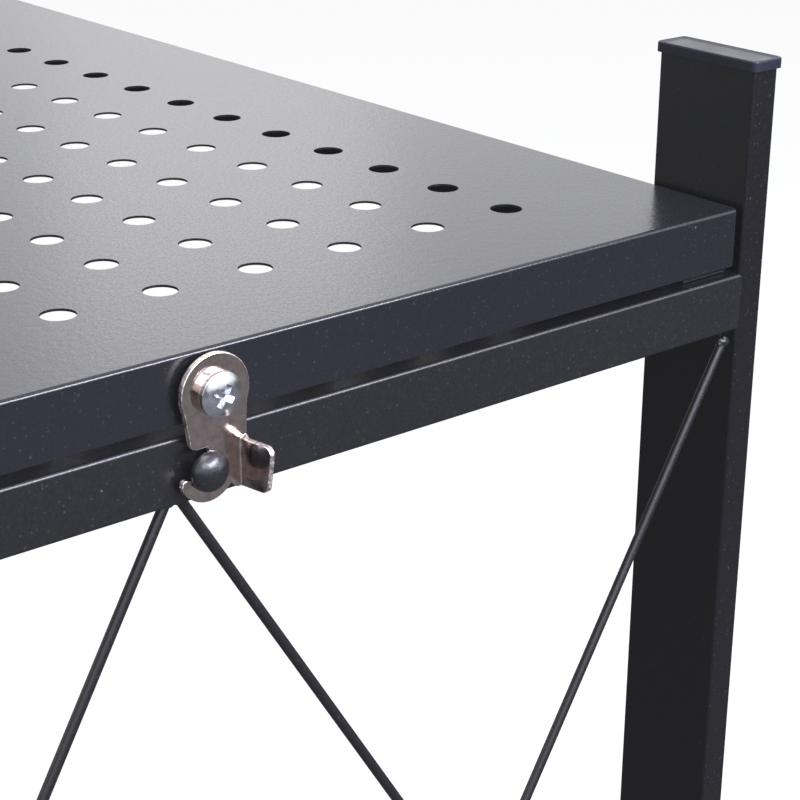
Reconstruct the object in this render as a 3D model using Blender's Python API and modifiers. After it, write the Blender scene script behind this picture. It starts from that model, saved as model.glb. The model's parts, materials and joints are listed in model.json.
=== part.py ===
"""Folding side table.

A perforated sheet-steel deck hangs between two welded end frames. Each frame turns on two bolts
through the deck's long skirts and folds flat under the deck. A hook latch on the deck's end skirt
catches a stud on the frame's top bar and holds the frame upright.

Metres, +Z up. X runs across the deck, Y along it, and the origin is on the floor under its middle.
Each end of the table is modelled once, seen from outside: x to the right, y inwards from the end
plane and z up from the deck's top. The rear end is the same end turned half round.
"""

import math

import bmesh
import bpy
from mathutils import Matrix, Vector

MM = 0.001

# Fits
CLEARANCE = 0.3 * MM
HOLE_CLEARANCE = 0.3 * MM

# Deck tray
DECK_HEIGHT = 350.0 * MM
HOLES_ACROSS = 10
HOLES_ALONG = 28
HOLE_PITCH_ACROSS = 26.0 * MM
HOLE_PITCH_ALONG = 24.4 * MM
HOLE_DIAMETER = 8.2 * MM
HOLE_SIDES = 8
SIDE_MARGIN = 46.7 * MM
END_MARGIN = 36.8 * MM
SHEET = 0.6 * MM
END_SKIRT = 15.5 * MM
SIDE_SKIRT = 17.6 * MM
FLANGE_WIDTH = 16.0 * MM
FLANGE_SETBACK = 3.5 * MM
DECK_EDGE_RADIUS = 0.9 * MM
DECK_CORNER_RADIUS = 2.2 * MM

# Posts
POST_THICKNESS = 9.0 * MM
POST_WIDTH = 31.9 * MM
POST_WALL = 1.2 * MM
POST_RADIUS = 0.9 * MM
POST_RISE = 34.4 * MM
POST_GAP = 1.6 * MM

# Post caps and feet
CAP_OVERHANG = 0.9 * MM
CAP_RIM = 2.9 * MM
CAP_RADIUS = 1.5 * MM
CAP_EDGE = 0.6 * MM
CAP_RECESS = 0.6 * MM
CAP_LIP = 1.6 * MM
FOOT_OVERHANG = 0.9 * MM
FOOT_RIM = 5.0 * MM
FOOT_EDGE = 1.0 * MM
PLUG_DEPTH = 12.0 * MM

# Cross bars
BAR_HEIGHT = 15.2 * MM
BAR_DEPTH = 10.0 * MM
BAR_WALL = 1.2 * MM
BAR_RADIUS = 0.9 * MM
BAY_HEIGHT = 277.5 * MM

# Brace wires
WIRE_DIAMETER = 2.5 * MM
WIRE_SETBACK = 0.6 * MM
BRACE_TOP_MEET = -6.7 * MM
BRACE_FOOT_MEET = 1.5 * MM

# Fold pivots
PIVOT_INSET = 20.5 * MM
PIVOT_DROP = 9.0 * MM
PIVOT_DIAMETER = 5.0 * MM
PIVOT_HEAD_DIAMETER = 10.0 * MM
PIVOT_HEAD_HEIGHT = 1.8 * MM
PIVOT_WASHER_DIAMETER = 13.0 * MM
PIVOT_NUT_FLATS = 8.0 * MM
PIVOT_NUT_HEIGHT = 3.6 * MM
PIVOT_TAIL = 1.2 * MM

# Latch
SCREW_DROP = 8.8 * MM
SCREW_DIAMETER = 5.0 * MM
SCREW_HEAD_DIAMETER = 10.0 * MM
SCREW_HEAD_HEIGHT = 2.6 * MM
SCREW_TAIL = 1.2 * MM
SPACER_THICKNESS = 1.0 * MM
SPACER_DIAMETER = 10.5 * MM
WASHER_THICKNESS = 1.0 * MM
WASHER_DIAMETER = 10.4 * MM
NUT_FLATS = 8.0 * MM
NUT_HEIGHT = 3.6 * MM
LATCH_THICKNESS = 1.4 * MM
LATCH_HEAD_RADIUS = 8.5 * MM
LATCH_SHOULDER = math.radians(24)
LATCH_WAIST_LEFT = 6.7 * MM
LATCH_WAIST_RIGHT = 7.5 * MM
LATCH_NOTCH_TOP = 11.7 * MM
LATCH_CORNER = 1.0 * MM
LATCH_FOOT = 21.2 * MM
HOOK_RADIUS = 6.5 * MM
HOOK_PLAY = 1.15 * MM
HOOK_LIP_REACH = 5.6 * MM
HOOK_LIP_LEAN = math.radians(40)
HOOK_TIP = math.radians(-163)
SLOT_OPENING = math.radians(60)
SLOT_CLOSING = math.radians(-110)
TAB_START = 4.6 * MM
TAB_TOP = 11.3 * MM
TAB_FOOT = 22.2 * MM
TAB_RELIEF = 0.7 * MM
TAB_SHOULDER = 2.0 * MM
TAB_LENGTH = 8.3 * MM
TAB_BEND_RADIUS = 1.5 * MM
TAB_BEND = math.radians(80)
TAB_BEND_STEPS = 5

# Latch stud
STUD_OFFSET = -2.4 * MM
STUD_REACH = 16.9 * MM
STUD_SHANK = 4.5 * MM
STUD_HEAD_DIAMETER = 9.2 * MM
STUD_HEAD_HEIGHT = 3.2 * MM
STUD_UPSET_DIAMETER = 6.6 * MM
STUD_UPSET_HEIGHT = 1.6 * MM

# Facets
ROUND_SIDES = 20
BORE_SIDES = 16
CORNER_STEPS = 3
CAP_EDGE_STEPS = 2
DOME_STEPS = 5
WIRE_RESOLUTION = 2
ARC_STEP = math.radians(16)
SHARP_ANGLE = math.radians(40)
FLAT_ANGLE = math.radians(0.5)
WELD_DISTANCE = 0.001 * MM

# Sizes that follow from the ones above
DECK_WIDTH = (HOLES_ACROSS - 1) * HOLE_PITCH_ACROSS + 2 * SIDE_MARGIN
DECK_LENGTH = (HOLES_ALONG - 1) * HOLE_PITCH_ALONG + 2 * END_MARGIN
POST_INNER = DECK_WIDTH / 2 + POST_GAP
POST_CENTRE = POST_INNER + POST_THICKNESS / 2
POST_OUTER = POST_INNER + POST_THICKNESS
POST_BOTTOM = FOOT_RIM + CLEARANCE
POST_TOP = DECK_HEIGHT + POST_RISE
TOP_BAR_CENTRE = -(SIDE_SKIRT + CLEARANCE + BAR_HEIGHT / 2)
LOWER_BAR_CENTRE = TOP_BAR_CENTRE - BAR_HEIGHT - BAY_HEIGHT
SPACER_FACE = CLEARANCE + SPACER_THICKNESS
LATCH_BACK = SPACER_FACE + CLEARANCE
LATCH_FRONT = LATCH_BACK + LATCH_THICKNESS
WASHER_BACK = LATCH_FRONT + CLEARANCE
SCREW_SEAT = WASHER_BACK + WASHER_THICKNESS + CLEARANCE
STUD_SEAT = LATCH_FRONT + CLEARANCE
STUD_DROP = SCREW_DROP + STUD_REACH

HALF_TURN = math.pi
ALONG_X = Matrix.Rotation(math.pi / 2, 4, "Z") @ Matrix.Rotation(math.pi / 2, 4, "X")
ALONG_Y = Matrix.Rotation(math.pi / 2, 4, "X")
TURNED_TO_FRONT = (math.pi / 2, 0, 0)
ENDS = {"front": 1, "rear": -1}
SIDES = {"left": -1, "right": 1}


# Scene and materials

def clear_scene():
    for item in list(bpy.data.objects):
        bpy.data.objects.remove(item, do_unlink=True)


def new_collection(name):
    collection = bpy.data.collections.new(name)
    bpy.context.scene.collection.children.link(collection)
    return collection


def new_material(name, colour, roughness, metallic):
    material = bpy.data.materials.new(name)
    material.use_nodes = True
    shader = material.node_tree.nodes["Principled BSDF"]
    shader.inputs["Base Color"].default_value = (*colour, 1)
    shader.inputs["Roughness"].default_value = roughness
    shader.inputs["Metallic"].default_value = metallic
    return material


clear_scene()
PARTS = new_collection("folding_side_table")
TOOLS = new_collection("cutters")
POWDER_COAT = new_material("powder_coat", (0.030, 0.031, 0.040), 0.45, 0.0)
BLACK_PLASTIC = new_material("black_plastic", (0.022, 0.023, 0.026), 0.42, 0.0)
NICKEL = new_material("nickel_plate", (0.55, 0.50, 0.46), 0.25, 1.0)
ZINC = new_material("zinc_plate", (0.66, 0.69, 0.73), 0.28, 1.0)


# Placing pieces

def empty(name, location, turn=0.0, parent=None):
    """A bare axis or place that pieces hang from."""
    holder = bpy.data.objects.new(name, None)
    PARTS.objects.link(holder)
    holder.parent = parent
    holder.location = location
    holder.rotation_euler = (0, 0, turn)
    return holder


def piece(name, mesh, material, parent=None, location=(0, 0, 0), rotation=(0, 0, 0)):
    """One sub-part: a mesh in its own object, with its own finish, at its place under its parent."""
    part = bpy.data.objects.new(name, mesh)
    PARTS.objects.link(part)
    if material.name not in mesh.materials:
        mesh.materials.append(material)
    part.parent = parent
    part.location = location
    part.rotation_euler = rotation
    return part


def cutter(name, mesh, location=(0, 0, 0)):
    """A solid that is only taken away from others."""
    tool = bpy.data.objects.new(name, mesh)
    TOOLS.objects.link(tool)
    tool.location = location
    tool.hide_render = True
    tool.display_type = "WIRE"
    return tool


def combine(part, tool, operation="DIFFERENCE"):
    step = part.modifiers.new(tool.name, "BOOLEAN")
    step.operation = operation
    step.solver = "EXACT"
    step.object = tool


def baked(part):
    """The part's finished mesh, for copies that share it; the part itself goes."""
    bpy.context.view_layer.update()
    graph = bpy.context.evaluated_depsgraph_get()
    mesh = bpy.data.meshes.new_from_object(part.evaluated_get(graph))
    bpy.data.objects.remove(part, do_unlink=True)
    return mesh


# Outlines and meshes

def arc(centre, radius, start, end, steps=None):
    """Points from one angle to another, in radians, both ends included."""
    steps = steps or math.ceil(abs(end - start) / ARC_STEP)
    angles = [start + (end - start) * i / steps for i in range(steps + 1)]
    return [(centre[0] + radius * math.cos(a), centre[1] + radius * math.sin(a)) for a in angles]


def polygon(radius, sides):
    """A regular polygon with a flat side towards +x."""
    half = math.pi / sides
    return [
        (radius * math.cos(half * (2 * i + 1)), radius * math.sin(half * (2 * i + 1)))
        for i in range(sides)
    ]


def rounded_rectangle(width, height, radius):
    points = []
    for quarter in range(4):
        start = quarter * math.pi / 2
        x = (width / 2 - radius) * (1 if quarter in (0, 3) else -1)
        y = (height / 2 - radius) * (1 if quarter in (0, 1) else -1)
        points += arc((x, y), radius, start, start + math.pi / 2, CORNER_STEPS)
    return points


def fit_mesh(mesh, matrix=None):
    """Weld a mesh's loose caps, face it outwards and turn it to its direction."""
    work = bmesh.new()
    work.from_mesh(mesh)
    bmesh.ops.remove_doubles(work, verts=work.verts, dist=WELD_DISTANCE)
    bmesh.ops.recalc_face_normals(work, faces=work.faces)
    if matrix:
        bmesh.ops.transform(work, matrix=matrix, verts=work.verts)
    work.to_mesh(mesh)
    work.free()
    return mesh


def plate(name, outlines, thickness, matrix=None):
    """A flat outline with its holes, extruded to a thickness centred on its plane."""
    curve = bpy.data.curves.new(name, "CURVE")
    curve.dimensions = "2D"
    curve.fill_mode = "BOTH"
    curve.extrude = thickness / 2
    for points in outlines:
        spline = curve.splines.new("POLY")
        spline.points.add(len(points) - 1)
        for point, (x, y) in zip(spline.points, points):
            point.co = (x, y, 0, 1)
        spline.use_cyclic_u = True
    holder = bpy.data.objects.new(name, curve)
    TOOLS.objects.link(holder)
    return fit_mesh(baked(holder), matrix)


def box(name, size, centre=(0, 0, 0)):
    mesh = bpy.data.meshes.new(name)
    work = bmesh.new()
    scale = Matrix.Diagonal((*size, 1))
    bmesh.ops.create_cube(work, size=1, matrix=Matrix.Translation(centre) @ scale)
    work.to_mesh(mesh)
    work.free()
    return mesh


def cylinder(name, radius, depth, sides, matrix=None):
    mesh = bpy.data.meshes.new(name)
    work = bmesh.new()
    bmesh.ops.create_cone(
        work, cap_ends=True, segments=sides, radius1=radius, radius2=radius, depth=depth,
        matrix=matrix or Matrix.Identity(4),
    )
    work.to_mesh(mesh)
    work.free()
    return mesh


def turned(name, profile):
    """A profile of (radius, height) points from the top of the axis to its foot, turned round Z."""
    mesh = bpy.data.meshes.new(name)
    edges = [(i, i + 1) for i in range(len(profile) - 1)]
    mesh.from_pydata([(r, 0, z) for r, z in profile], edges, [])
    part = bpy.data.objects.new(name, mesh)
    TOOLS.objects.link(part)
    lathe = part.modifiers.new("lathe", "SCREW")
    lathe.steps = ROUND_SIDES
    lathe.render_steps = ROUND_SIDES
    lathe.use_merge_vertices = True
    lathe.merge_threshold = WELD_DISTANCE
    mesh = fit_mesh(baked(part))
    mesh.shade_smooth()
    mesh.set_sharp_from_angle(angle=SHARP_ANGLE)
    return mesh


def ring(name, diameter, bore, thickness, matrix):
    outer = polygon(diameter / 2, ROUND_SIDES)
    inner = polygon(bore / 2, BORE_SIDES)
    return plate(name, [outer, inner], thickness, matrix)


def hexagon_nut(name, flats, bore, thickness, matrix):
    outer = polygon(flats / 2 / math.cos(math.pi / 6), 6)
    inner = polygon(bore / 2, BORE_SIDES)
    return plate(name, [outer, inner], thickness, matrix)


def tube(name, width, height, radius, wall, length, matrix=None):
    """A rectangular tube with rounded corners, open at both ends."""
    outer = rounded_rectangle(width, height, radius)
    inner = rounded_rectangle(width - 2 * wall, height - 2 * wall, radius - wall / 2)
    return plate(name, [outer, inner], length, matrix)


def dome(radius, height):
    """The profile of a round head from its crown to its rim, as part of a sphere."""
    sphere = (radius ** 2 + height ** 2) / (2 * height)
    sweep = math.asin(radius / sphere)
    crown = [sweep * i / DOME_STEPS for i in range(DOME_STEPS + 1)]
    return [(sphere * math.sin(a), height - sphere * (1 - math.cos(a))) for a in crown]


def rolled_plate(name, outline, thickness, edge, steps):
    """A plate that stands on z 0, with its upper rim rounded."""
    mesh = plate(name, [outline], thickness)
    work = bmesh.new()
    work.from_mesh(mesh)
    rim = [e for e in work.edges if all(v.co.z > 0 for v in e.verts)
           and {round(f.normal.z) for f in e.link_faces} == {0, 1}]
    bmesh.ops.bevel(work, geom=rim, offset=edge, segments=steps, profile=0.5, affect="EDGES")
    bmesh.ops.translate(work, vec=(0, 0, thickness / 2), verts=work.verts)
    work.to_mesh(mesh)
    work.free()
    return mesh


# Deck

def deck_outline(inset):
    radius = DECK_CORNER_RADIUS - inset
    return rounded_rectangle(DECK_WIDTH - 2 * inset, DECK_LENGTH - 2 * inset, radius)


def deck_holes():
    """One punch repeated over the whole field of holes."""
    tool = cylinder("hole_punch", HOLE_DIAMETER / 2 / math.cos(math.pi / HOLE_SIDES / 2),
                    4 * SHEET, HOLE_SIDES, Matrix.Rotation(math.pi / HOLE_SIDES, 4, "Z"))
    corner = (
        -(HOLES_ACROSS - 1) * HOLE_PITCH_ACROSS / 2,
        -(HOLES_ALONG - 1) * HOLE_PITCH_ALONG / 2,
        DECK_HEIGHT - SHEET / 2,
    )
    punch = cutter("hole_punch", tool, corner)
    steps = ((HOLES_ACROSS, (HOLE_PITCH_ACROSS, 0, 0)), (HOLES_ALONG, (0, HOLE_PITCH_ALONG, 0)))
    for count, pitch in steps:
        row = punch.modifiers.new("row", "ARRAY")
        row.count = count
        row.use_relative_offset = False
        row.use_constant_offset = True
        row.constant_offset_displace = pitch
    return punch


def deck_tray():
    """A pressed tray: skirts all round, and a flange turned in along each long side."""
    blank = rolled_plate("deck_tray", deck_outline(0), SIDE_SKIRT, DECK_EDGE_RADIUS, CORNER_STEPS)
    tray = piece("deck_tray", blank, POWDER_COAT, location=(0, 0, DECK_HEIGHT - SIDE_SKIRT))
    through = 2 * DECK_LENGTH
    hollow_depth = SIDE_SKIRT - 2 * SHEET
    hollow = plate("hollow", [deck_outline(SHEET)], hollow_depth)
    combine(tray, cutter("hollow", hollow, (0, 0, DECK_HEIGHT - SHEET - hollow_depth / 2)))
    mouth = box(
        "mouth", (DECK_WIDTH - 2 * FLANGE_WIDTH, through, 4 * SHEET),
        (0, 0, DECK_HEIGHT - SIDE_SKIRT - SHEET),
    )
    combine(tray, cutter("mouth", mouth))
    for end, sign in ENDS.items():
        relief_height = 2 * (SIDE_SKIRT - END_SKIRT)
        relief = box(
            f"relief_{end}", (2 * DECK_WIDTH, 2 * FLANGE_SETBACK, relief_height),
            (0, -sign * DECK_LENGTH / 2, DECK_HEIGHT - SIDE_SKIRT),
        )
        combine(tray, cutter(f"relief_{end}", relief))
        drill = cylinder(
            f"pivot_drill_{end}", PIVOT_DIAMETER / 2 + HOLE_CLEARANCE, 2 * DECK_WIDTH, BORE_SIDES, ALONG_X
        )
        place = (0, -sign * (DECK_LENGTH / 2 - PIVOT_INSET), DECK_HEIGHT - PIVOT_DROP)
        combine(tray, cutter(f"pivot_drill_{end}", drill, place))
    screw_drill = cylinder("screw_drill", SCREW_DIAMETER / 2 + HOLE_CLEARANCE, through, BORE_SIDES, ALONG_Y)
    combine(tray, cutter("screw_drill", screw_drill, (0, 0, DECK_HEIGHT - SCREW_DROP)))
    combine(tray, deck_holes())


# End frames

def post_mesh():
    length = POST_TOP - POST_BOTTOM
    mesh = tube("post", POST_THICKNESS, POST_WIDTH, POST_RADIUS, POST_WALL, length)
    post = piece("post_blank", mesh, POWDER_COAT)
    drill = cylinder(
        "post_drill", PIVOT_DIAMETER / 2 + HOLE_CLEARANCE, 4 * POST_THICKNESS, BORE_SIDES, ALONG_X
    )
    height = DECK_HEIGHT - PIVOT_DROP - (POST_TOP + POST_BOTTOM) / 2
    combine(post, cutter("post_drill", drill, (0, PIVOT_INSET - POST_WIDTH / 2, height)))
    return baked(post)


def end_plug(name, overhang, rim, edge, recess):
    """A moulded end piece: a rounded rim outside the tube and a plug inside it, rim side up."""
    width = POST_THICKNESS + 2 * overhang
    height = POST_WIDTH + 2 * overhang
    mesh = rolled_plate(name, rounded_rectangle(width, height, CAP_RADIUS), rim, edge, CAP_EDGE_STEPS)
    part = piece(name, mesh, BLACK_PLASTIC)
    gap = 2 * (POST_WALL + CLEARANCE)
    stem_outline = rounded_rectangle(POST_THICKNESS - gap, POST_WIDTH - gap, POST_RADIUS - POST_WALL / 2)
    stem = plate(f"{name}_stem", [stem_outline], PLUG_DEPTH + rim / 2)
    combine(part, cutter(f"{name}_stem", stem, (0, 0, rim / 4 - PLUG_DEPTH / 2)), "UNION")
    if recess:
        dish_outline = rounded_rectangle(width - 2 * CAP_LIP, height - 2 * CAP_LIP, CAP_RADIUS / 2)
        dish = plate(f"{name}_dish", [dish_outline], 2 * recess)
        combine(part, cutter(f"{name}_dish", dish, (0, 0, rim)))
    return baked(part)


def bar_mesh(name):
    length = 2 * (POST_INNER - CLEARANCE)
    return tube(name, BAR_DEPTH, BAR_HEIGHT, BAR_RADIUS, BAR_WALL, length, ALONG_X)


def stud_mesh():
    """A riveted stud: domed head outside, shank through the bar's wall, upset end inside."""
    shank = STUD_SHANK / 2
    upset = STUD_UPSET_DIAMETER / 2
    seat = STUD_SEAT
    inside = -(BAR_WALL + CLEARANCE)
    profile = [(r, seat + z) for r, z in dome(STUD_HEAD_DIAMETER / 2, STUD_HEAD_HEIGHT)]
    profile += [(shank, seat), (shank, inside), (upset, inside)]
    profile += [(upset, inside - STUD_UPSET_HEIGHT), (0, inside - STUD_UPSET_HEIGHT)]
    return turned("latch_stud", profile)


def add_wire(name, start, end, parent):
    """A straight round wire between two points."""
    curve = bpy.data.curves.new(name, "CURVE")
    curve.dimensions = "3D"
    curve.bevel_depth = WIRE_DIAMETER / 2
    curve.bevel_resolution = WIRE_RESOLUTION
    curve.use_fill_caps = True
    spline = curve.splines.new("POLY")
    spline.points.add(1)
    for point, place in zip(spline.points, (start, end)):
        point.co = (*place, 1)
    holder = bpy.data.objects.new(name, curve)
    TOOLS.objects.link(holder)
    mesh = fit_mesh(baked(holder))
    mesh.shade_smooth()
    mesh.set_sharp_from_angle(angle=SHARP_ANGLE)
    piece(name, mesh, POWDER_COAT, parent)


def add_braces(end, sign, fold, place):
    """Two crossed wires in each half of the frame. The ones from the posts' tops run in front."""
    radius = WIRE_DIAMETER / 2
    front = WIRE_SETBACK + radius
    back = front + WIRE_DIAMETER + CLEARANCE
    rise = math.atan2(BAY_HEIGHT, POST_INNER)
    reach = CLEARANCE + radius * math.cos(rise)
    top = TOP_BAR_CENTRE - BAR_HEIGHT / 2 - reach
    bottom = LOWER_BAR_CENTRE + BAR_HEIGHT / 2 + reach
    outer = POST_INNER - CLEARANCE - radius
    apart = radius / math.sin(rise) + CLEARANCE
    for side, world_side in SIDES.items():
        local = world_side * sign
        top_meet = BRACE_TOP_MEET + local * apart
        foot_meet = BRACE_FOOT_MEET + local * apart
        crossings = {
            "falling": ((local * outer, front, top), (foot_meet, front, bottom)),
            "rising": ((top_meet, back, top), (local * outer, back, bottom)),
        }
        for kind, (start, finish) in crossings.items():
            add_wire(f"brace_{end}_{side}_{kind}", place(*start), place(*finish), fold)


def end_frame(end, sign, end_place, shared):
    """Posts, bars, braces and stud, all hung on the frame's fold axis."""
    fold = empty(f"fold_axis_{end}", (0, PIVOT_INSET, -PIVOT_DROP), parent=end_place)

    def place(x, y, z):
        """A point of the end, counted from the fold axis."""
        return Vector((x, y - PIVOT_INSET, z + PIVOT_DROP))

    post_middle = (POST_TOP + POST_BOTTOM) / 2 - DECK_HEIGHT
    for side, world_side in SIDES.items():
        x = world_side * sign * POST_CENTRE
        y = POST_WIDTH / 2
        cap_seat = POST_RISE + CLEARANCE
        foot_seat = FOOT_RIM - DECK_HEIGHT
        piece(f"post_{end}_{side}", shared["post"], POWDER_COAT, fold, place(x, y, post_middle))
        piece(f"post_cap_{end}_{side}", shared["cap"], BLACK_PLASTIC, fold, place(x, y, cap_seat))
        piece(f"foot_{end}_{side}", shared["foot"], BLACK_PLASTIC, fold, place(x, y, foot_seat),
              (HALF_TURN, 0, 0))
    bar_y = BAR_DEPTH / 2
    piece(f"top_bar_{end}", shared["top_bar"], POWDER_COAT, fold, place(0, bar_y, TOP_BAR_CENTRE))
    piece(f"lower_bar_{end}", shared["lower_bar"], POWDER_COAT, fold, place(0, bar_y, LOWER_BAR_CENTRE))
    piece(f"latch_stud_{end}", shared["stud"], POWDER_COAT, fold, place(STUD_OFFSET, 0, -STUD_DROP),
          TURNED_TO_FRONT)
    add_braces(end, sign, fold, place)


def drilled_top_bar():
    bar = piece("top_bar_blank", bar_mesh("top_bar"), POWDER_COAT)
    drill = cylinder("stud_drill", STUD_SHANK / 2 + HOLE_CLEARANCE, BAR_DEPTH, BORE_SIDES, ALONG_Y)
    height = -STUD_DROP - TOP_BAR_CENTRE
    combine(bar, cutter("stud_drill", drill, (STUD_OFFSET, -BAR_DEPTH / 2, height)))
    return baked(bar)


# Fold pivots

def pivot_bolt_mesh():
    """A flat-headed bolt from outside the post to inside the deck, head up."""
    shank = PIVOT_DIAMETER / 2
    seat = POST_OUTER + CLEARANCE
    tail = DECK_WIDTH / 2 - SHEET - CLEARANCE - PIVOT_NUT_HEIGHT - PIVOT_TAIL
    profile = [(r, seat + z) for r, z in dome(PIVOT_HEAD_DIAMETER / 2, PIVOT_HEAD_HEIGHT)]
    profile += [(shank, seat), (shank, tail), (0, tail)]
    return turned("pivot_bolt", profile)


def add_pivots(end, sign, end_place, shared):
    """Each post's bolt, the washer that keeps it off the deck, and the nut inside the skirt."""
    washer_x = (DECK_WIDTH / 2 + POST_INNER) / 2
    nut_x = DECK_WIDTH / 2 - SHEET - CLEARANCE - PIVOT_NUT_HEIGHT / 2
    for side, world_side in SIDES.items():
        local = world_side * sign
        lean = (0, local * math.pi / 2, 0)
        axis = Vector((0, PIVOT_INSET, -PIVOT_DROP))
        across = Vector((local, 0, 0))
        name = f"{end}_{side}"
        piece(f"pivot_bolt_{name}", shared["pivot_bolt"], ZINC, end_place, axis, lean)
        piece(f"pivot_washer_{name}", shared["pivot_washer"], ZINC, end_place, axis + washer_x * across)
        piece(f"pivot_nut_{name}", shared["pivot_nut"], ZINC, end_place, axis + nut_x * across)


# Latch

def latch_outline():
    """The plate from outside, about its screw: round head, waist, hook open to the left, and foot."""
    stud = Vector((STUD_OFFSET, -STUD_REACH))
    slot = STUD_SHANK / 2 + HOOK_PLAY
    lip_path = stud.length + STUD_SHANK / 2 + HOLE_CLEARANCE
    head = arc((0, 0), LATCH_HEAD_RADIUS, -LATCH_SHOULDER, HALF_TURN + LATCH_SHOULDER)
    waist_left = [(-LATCH_WAIST_LEFT, -LATCH_NOTCH_TOP + LATCH_CORNER),
                  (-LATCH_WAIST_LEFT + LATCH_CORNER, -LATCH_NOTCH_TOP)]
    notch = [(stud.x, -LATCH_NOTCH_TOP)]
    slot_end = arc(stud, slot, SLOT_OPENING, SLOT_CLOSING)
    lip_start = -math.pi / 2 + (stud.x - slot * math.sin(HOOK_LIP_LEAN)) / lip_path
    lip_end = -math.pi / 2 - (HOOK_LIP_REACH - stud.x) / lip_path
    lip = arc((0, 0), lip_path, lip_start, lip_end, CORNER_STEPS)
    hook_end = -math.asin((stud.y + LATCH_FOOT) / HOOK_RADIUS)
    hook = arc(stud, HOOK_RADIUS, HOOK_TIP, hook_end)
    foot = [(TAB_START, -TAB_FOOT), (TAB_START, -TAB_TOP)]
    waist_right = [(LATCH_WAIST_RIGHT - TAB_RELIEF, -TAB_TOP + TAB_RELIEF),
                   (LATCH_WAIST_RIGHT, -TAB_TOP + TAB_SHOULDER)]
    return head + waist_left + notch + slot_end + lip + hook + foot + waist_right


def latch_mesh():
    """The hooked plate, with its finger tab bent outwards from the right-hand edge."""
    bore = polygon(SCREW_DIAMETER / 2 + HOLE_CLEARANCE, BORE_SIDES)
    mesh = plate("latch", [latch_outline(), bore], LATCH_THICKNESS, ALONG_Y)
    work = bmesh.new()
    work.from_mesh(mesh)
    bmesh.ops.dissolve_limit(work, angle_limit=FLAT_ANGLE, verts=work.verts, edges=work.edges)
    tab = min(
        (f for f in work.faces if f.normal.x > 0.99),
        key=lambda f: abs(f.calc_center_median().x - TAB_START),
    )
    hinge = Vector((TAB_START, -(TAB_BEND_RADIUS + LATCH_THICKNESS / 2), 0))
    bend = Matrix.Rotation(-TAB_BEND / TAB_BEND_STEPS, 4, "Z")
    for _ in range(TAB_BEND_STEPS):
        tab = pulled_face(work, tab, Matrix.Translation(hinge) @ bend @ Matrix.Translation(-hinge))
    pulled_face(work, tab, Matrix.Translation(tab.normal * TAB_LENGTH))
    bmesh.ops.recalc_face_normals(work, faces=work.faces)
    work.to_mesh(mesh)
    work.free()
    return mesh


def pulled_face(work, face, matrix):
    """Extrude one face and move the new one."""
    made = bmesh.ops.extrude_face_region(work, geom=[face])["geom"]
    verts = [g for g in made if isinstance(g, bmesh.types.BMVert)]
    bmesh.ops.transform(work, matrix=matrix, verts=verts)
    if face.is_valid:
        bmesh.ops.delete(work, geom=[face], context="FACES_ONLY")
    new = next(g for g in made if isinstance(g, bmesh.types.BMFace))
    new.normal_update()
    return new


def latch_screw_mesh():
    """A round-headed screw from outside the latch to inside the deck's end skirt, head up."""
    shank = SCREW_DIAMETER / 2
    tail = -(SHEET + CLEARANCE + NUT_HEIGHT + SCREW_TAIL)
    profile = [(r, SCREW_SEAT + z) for r, z in dome(SCREW_HEAD_DIAMETER / 2, SCREW_HEAD_HEIGHT)]
    profile += [(shank, SCREW_SEAT), (shank, tail), (0, tail)]
    return turned("latch_screw", profile)


def add_latch(end, end_place, shared):
    """The latch turns on its screw, between a spacer on the skirt and a washer under the head."""
    axis = empty(f"latch_axis_{end}", (0, 0, -SCREW_DROP), parent=end_place)
    outwards = {
        "latch": (LATCH_BACK + LATCH_FRONT) / 2,
        "latch_spacer": (CLEARANCE + SPACER_FACE) / 2,
        "latch_washer": WASHER_BACK + WASHER_THICKNESS / 2,
        "latch_nut": -(SHEET + CLEARANCE + NUT_HEIGHT / 2),
    }
    finish = {"latch": NICKEL, "latch_washer": NICKEL}
    for kind, distance in outwards.items():
        piece(f"{kind}_{end}", shared[kind], finish.get(kind, ZINC), axis, (0, -distance, 0))
    piece(f"latch_screw_{end}", shared["latch_screw"], ZINC, axis, (0, 0, 0), TURNED_TO_FRONT)


# Assembly

def shared_meshes():
    screw_bore = SCREW_DIAMETER + 2 * HOLE_CLEARANCE
    pivot_bore = PIVOT_DIAMETER + 2 * HOLE_CLEARANCE
    washer_gap = POST_GAP - 2 * CLEARANCE
    return {
        "post": post_mesh(),
        "cap": end_plug("cap", CAP_OVERHANG, CAP_RIM, CAP_EDGE, CAP_RECESS),
        "foot": end_plug("foot", FOOT_OVERHANG, FOOT_RIM, FOOT_EDGE, 0),
        "top_bar": drilled_top_bar(),
        "lower_bar": bar_mesh("lower_bar"),
        "stud": stud_mesh(),
        "pivot_bolt": pivot_bolt_mesh(),
        "pivot_washer": ring("pivot_washer", PIVOT_WASHER_DIAMETER, pivot_bore, washer_gap, ALONG_X),
        "pivot_nut": hexagon_nut("pivot_nut", PIVOT_NUT_FLATS, pivot_bore, PIVOT_NUT_HEIGHT, ALONG_X),
        "latch": latch_mesh(),
        "latch_spacer": ring("latch_spacer", SPACER_DIAMETER, screw_bore, SPACER_THICKNESS, ALONG_Y),
        "latch_washer": ring("latch_washer", WASHER_DIAMETER, screw_bore, WASHER_THICKNESS, ALONG_Y),
        "latch_nut": hexagon_nut("latch_nut", NUT_FLATS, screw_bore, NUT_HEIGHT, ALONG_Y),
        "latch_screw": latch_screw_mesh(),
    }


def build_table():
    deck_tray()
    shared = shared_meshes()
    for end, sign in ENDS.items():
        turn = 0.0 if sign > 0 else HALF_TURN
        end_place = empty(f"deck_end_{end}", (0, -sign * DECK_LENGTH / 2, DECK_HEIGHT), turn)
        end_frame(end, sign, end_place, shared)
        add_pivots(end, sign, end_place, shared)
        add_latch(end, end_place, shared)


build_table()
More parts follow.
